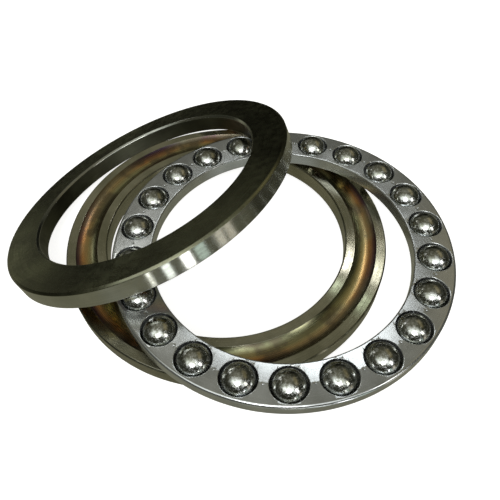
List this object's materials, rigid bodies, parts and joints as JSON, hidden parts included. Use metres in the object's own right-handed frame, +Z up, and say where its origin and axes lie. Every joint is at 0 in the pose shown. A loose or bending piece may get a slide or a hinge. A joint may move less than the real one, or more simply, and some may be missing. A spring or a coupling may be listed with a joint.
{
  "type": "thrust ball bearing",
  "caption": "Single-direction thrust ball bearing shown taken apart: grooved shaft washer, ball-and-cage ring and tilted grooved housing washer.",
  "frame": {"origin": "on the floor, under the middle of the bounding box of the pieces as they lie", "axes": "+Z up from the floor; +X from the leaning housing washer towards the cage, along the line the three rings are spread on; the XZ plane holds the axes of all three rings"},
  "size_m": [0.1484, 0.1, 0.0367],
  "materials": {
    "shaft_washer": "hardened bearing steel, ground lands and rim, polished ball groove, lightly oiled",
    "housing_washer": "hardened bearing steel, turned and ground dark back face, ground rim, lightly oiled",
    "cage": "machined mild steel, satin flat faces, rounded edges, staked pockets",
    "balls": "lapped and polished bearing steel, mirror finish"
  },
  "bodies": {
    "shaft_washer": {"shaft_washer": "shaft_washer"},
    "housing_washer": {"housing_washer": "housing_washer"},
    "cage": {"cage": "cage"},
    "ball_01": {"ball_01": "balls"},
    "ball_02": {"ball_02": "balls"},
    "ball_03": {"ball_03": "balls"},
    "ball_04": {"ball_04": "balls"},
    "ball_05": {"ball_05": "balls"},
    "ball_06": {"ball_06": "balls"},
    "ball_07": {"ball_07": "balls"},
    "ball_08": {"ball_08": "balls"},
    "ball_09": {"ball_09": "balls"},
    "ball_10": {"ball_10": "balls"},
    "ball_11": {"ball_11": "balls"},
    "ball_12": {"ball_12": "balls"},
    "ball_13": {"ball_13": "balls"},
    "ball_14": {"ball_14": "balls"},
    "ball_15": {"ball_15": "balls"},
    "ball_16": {"ball_16": "balls"},
    "ball_17": {"ball_17": "balls"},
    "ball_18": {"ball_18": "balls"},
    "ball_19": {"ball_19": "balls"},
    "ball_20": {"ball_20": "balls"},
    "ball_21": {"ball_21": "balls"},
    "ball_22": {"ball_22": "balls"}
  },
  "joints": [
    {"name": "housing_washer_spin", "type": "hinge", "parent": "shaft_washer", "child": "housing_washer", "pos_m": [-0.02506, 0, 0.01553], "axis": [-0.3131, 0, 0.9497], "continuous": true},
    {"name": "cage_spin", "type": "hinge", "parent": "shaft_washer", "child": "cage", "pos_m": [0.02467, 0, 0.01396], "axis": [0.1106, 0, 0.9939], "continuous": true},
    {"name": "ball_01_spin", "type": "hinge", "parent": "cage", "child": "ball_01", "pos_m": [0.06788, 0.00488, 0.00915], "axis": [0.9877, 0.1115, -0.1099], "continuous": true},
    {"name": "ball_02_spin", "type": "hinge", "parent": "cage", "child": "ball_02", "pos_m": [0.06476, 0.01693, 0.0095], "axis": [0.9164, 0.3869, -0.102], "continuous": true},
    {"name": "ball_03_spin", "type": "hinge", "parent": "cage", "child": "ball_03", "pos_m": [0.0584, 0.02761, 0.01021], "axis": [0.771, 0.631, -0.0858], "continuous": true},
    {"name": "ball_04_spin", "type": "hinge", "parent": "cage", "child": "ball_04", "pos_m": [0.0493, 0.03605, 0.01122], "axis": [0.5631, 0.824, -0.0627], "continuous": true},
    {"name": "ball_05_spin", "type": "hinge", "parent": "cage", "child": "ball_05", "pos_m": [0.03821, 0.04157, 0.01246], "axis": [0.3095, 0.9503, -0.0345], "continuous": true},
    {"name": "ball_06_spin", "type": "hinge", "parent": "cage", "child": "ball_06", "pos_m": [0.02602, 0.04373, 0.01381], "axis": [0.0309, 0.9995, -0.0034], "continuous": true},
    {"name": "ball_07_spin", "type": "hinge", "parent": "cage", "child": "ball_07", "pos_m": [0.01372, 0.04234, 0.01518], "axis": [-0.2502, 0.9678, 0.0279], "continuous": true},
    {"name": "ball_08_spin", "type": "hinge", "parent": "cage", "child": "ball_08", "pos_m": [0.00231, 0.03752, 0.01645], "axis": [-0.5111, 0.8577, 0.0569], "continuous": true},
    {"name": "ball_09_spin", "type": "hinge", "parent": "cage", "child": "ball_09", "pos_m": [-0.00729, 0.02966, 0.01752], "axis": [-0.7305, 0.678, 0.0813], "continuous": true},
    {"name": "ball_10_spin", "type": "hinge", "parent": "cage", "child": "ball_10", "pos_m": [-0.0143, 0.0194, 0.0183], "axis": [-0.8908, 0.4435, 0.0992], "continuous": true},
    {"name": "ball_11_spin", "type": "hinge", "parent": "cage", "child": "ball_11", "pos_m": [-0.01816, 0.00757, 0.01873], "axis": [-0.9789, 0.173, 0.109], "continuous": true},
    {"name": "ball_12_spin", "type": "hinge", "parent": "cage", "child": "ball_12", "pos_m": [-0.01854, -0.00488, 0.01877], "axis": [-0.9877, -0.1115, 0.1099], "continuous": true},
    {"name": "ball_13_spin", "type": "hinge", "parent": "cage", "child": "ball_13", "pos_m": [-0.01543, -0.01693, 0.01843], "axis": [-0.9164, -0.3869, 0.102], "continuous": true},
    {"name": "ball_14_spin", "type": "hinge", "parent": "cage", "child": "ball_14", "pos_m": [-0.00906, -0.02761, 0.01772], "axis": [-0.771, -0.631, 0.0858], "continuous": true},
    {"name": "ball_15_spin", "type": "hinge", "parent": "cage", "child": "ball_15", "pos_m": [0.00003, -0.03605, 0.0167], "axis": [-0.5631, -0.824, 0.0627], "continuous": true},
    {"name": "ball_16_spin", "type": "hinge", "parent": "cage", "child": "ball_16", "pos_m": [0.01113, -0.04157, 0.01547], "axis": [-0.3095, -0.9503, 0.0345], "continuous": true},
    {"name": "ball_17_spin", "type": "hinge", "parent": "cage", "child": "ball_17", "pos_m": [0.02332, -0.04373, 0.01411], "axis": [-0.0309, -0.9995, 0.0034], "continuous": true},
    {"name": "ball_18_spin", "type": "hinge", "parent": "cage", "child": "ball_18", "pos_m": [0.03562, -0.04234, 0.01274], "axis": [0.2502, -0.9678, -0.0279], "continuous": true},
    {"name": "ball_19_spin", "type": "hinge", "parent": "cage", "child": "ball_19", "pos_m": [0.04703, -0.03752, 0.01147], "axis": [0.5111, -0.8577, -0.0569], "continuous": true},
    {"name": "ball_20_spin", "type": "hinge", "parent": "cage", "child": "ball_20", "pos_m": [0.05663, -0.02966, 0.0104], "axis": [0.7305, -0.678, -0.0813], "continuous": true},
    {"name": "ball_21_spin", "type": "hinge", "parent": "cage", "child": "ball_21", "pos_m": [0.06364, -0.0194, 0.00962], "axis": [0.8908, -0.4435, -0.0992], "continuous": true},
    {"name": "ball_22_spin", "type": "hinge", "parent": "cage", "child": "ball_22", "pos_m": [0.06749, -0.00757, 0.0092], "axis": [0.9789, -0.173, -0.109], "continuous": true}
  ],
  "couplings": [
    {"joint": "cage_spin", "follows": "housing_washer_spin", "ratio": 0.5},
    {"joint": "ball_01_spin", "follows": "housing_washer_spin", "ratio": -4.5932},
    {"joint": "ball_02_spin", "follows": "housing_washer_spin", "ratio": -4.5932},
    {"joint": "ball_03_spin", "follows": "housing_washer_spin", "ratio": -4.5932},
    {"joint": "ball_04_spin", "follows": "housing_washer_spin", "ratio": -4.5932},
    {"joint": "ball_05_spin", "follows": "housing_washer_spin", "ratio": -4.5932},
    {"joint": "ball_06_spin", "follows": "housing_washer_spin", "ratio": -4.5932},
    {"joint": "ball_07_spin", "follows": "housing_washer_spin", "ratio": -4.5932},
    {"joint": "ball_08_spin", "follows": "housing_washer_spin", "ratio": -4.5932},
    {"joint": "ball_09_spin", "follows": "housing_washer_spin", "ratio": -4.5932},
    {"joint": "ball_10_spin", "follows": "housing_washer_spin", "ratio": -4.5932},
    {"joint": "ball_11_spin", "follows": "housing_washer_spin", "ratio": -4.5932},
    {"joint": "ball_12_spin", "follows": "housing_washer_spin", "ratio": -4.5932},
    {"joint": "ball_13_spin", "follows": "housing_washer_spin", "ratio": -4.5932},
    {"joint": "ball_14_spin", "follows": "housing_washer_spin", "ratio": -4.5932},
    {"joint": "ball_15_spin", "follows": "housing_washer_spin", "ratio": -4.5932},
    {"joint": "ball_16_spin", "follows": "housing_washer_spin", "ratio": -4.5932},
    {"joint": "ball_17_spin", "follows": "housing_washer_spin", "ratio": -4.5932},
    {"joint": "ball_18_spin", "follows": "housing_washer_spin", "ratio": -4.5932},
    {"joint": "ball_19_spin", "follows": "housing_washer_spin", "ratio": -4.5932},
    {"joint": "ball_20_spin", "follows": "housing_washer_spin", "ratio": -4.5932},
    {"joint": "ball_21_spin", "follows": "housing_washer_spin", "ratio": -4.5932},
    {"joint": "ball_22_spin", "follows": "housing_washer_spin", "ratio": -4.5932}
  ]
}
